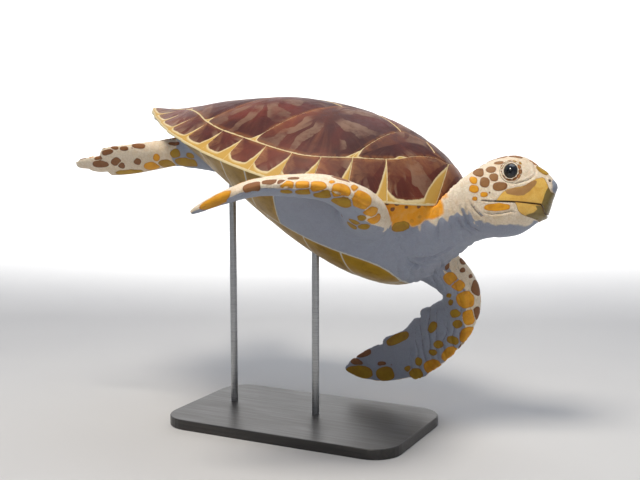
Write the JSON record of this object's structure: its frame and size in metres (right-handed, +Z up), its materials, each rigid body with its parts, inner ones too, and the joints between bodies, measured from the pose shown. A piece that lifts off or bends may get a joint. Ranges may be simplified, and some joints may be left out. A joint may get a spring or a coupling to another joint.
{
  "type": "hawksbill sea turtle",
  "caption": "Life-size hawksbill sea turtle as a still museum model, gliding nose down and banked, on a plain flat base with upright rods.",
  "frame": {"origin": "under the middle of the model, on the underside of the base", "axes": "+Z up, +X the way the turtle swims, +Y to the turtle's left"},
  "size_m": [1.0472, 0.8316, 0.7117],
  "materials": {
    "scute_horn": "satin reddish-brown tortoiseshell horn with paler rays",
    "marginal_horn": "satin brown horn with cream-yellow rear corners",
    "plastron_horn": "satin pale yellow horn",
    "skin": "matt wrinkled cream skin",
    "flipper_skin": "matt cream skin with orange and brown scales",
    "beak_horn": "satin yellow and brown horn",
    "eye": "wet gloss dark eye",
    "stand_base": "satin black-stained board",
    "stand_rod": "brushed steel rod"
  },
  "bodies": {
    "root": {"vertebral_1": "scute_horn", "vertebral_2": "scute_horn", "vertebral_3": "scute_horn", "vertebral_4": "scute_horn", "vertebral_5": "scute_horn", "costal_left_1": "scute_horn", "costal_right_1": "scute_horn", "costal_left_2": "scute_horn", "costal_right_2": "scute_horn", "costal_left_3": "scute_horn", "costal_right_3": "scute_horn", "costal_left_4": "scute_horn", "costal_right_4": "scute_horn", "marginals_left": "marginal_horn", "supracaudal_left": "marginal_horn", "marginals_right": "marginal_horn", "supracaudal_right": "marginal_horn", "nuchal": "marginal_horn", "plastron": "plastron_horn", "trunk": "skin", "neck": "skin", "head": "skin", "beak_upper": "beak_horn", "beak_lower": "beak_horn", "eye_left": "eye", "eye_right": "eye", "flipper_front_right": "flipper_skin", "flipper_front_left": "flipper_skin", "flipper_hind_right": "flipper_skin", "flipper_hind_left": "flipper_skin", "tail": "skin", "stand_base": "stand_base", "stand_rod_front": "stand_rod", "stand_rod_rear": "stand_rod"}
  },
  "joints": []
}
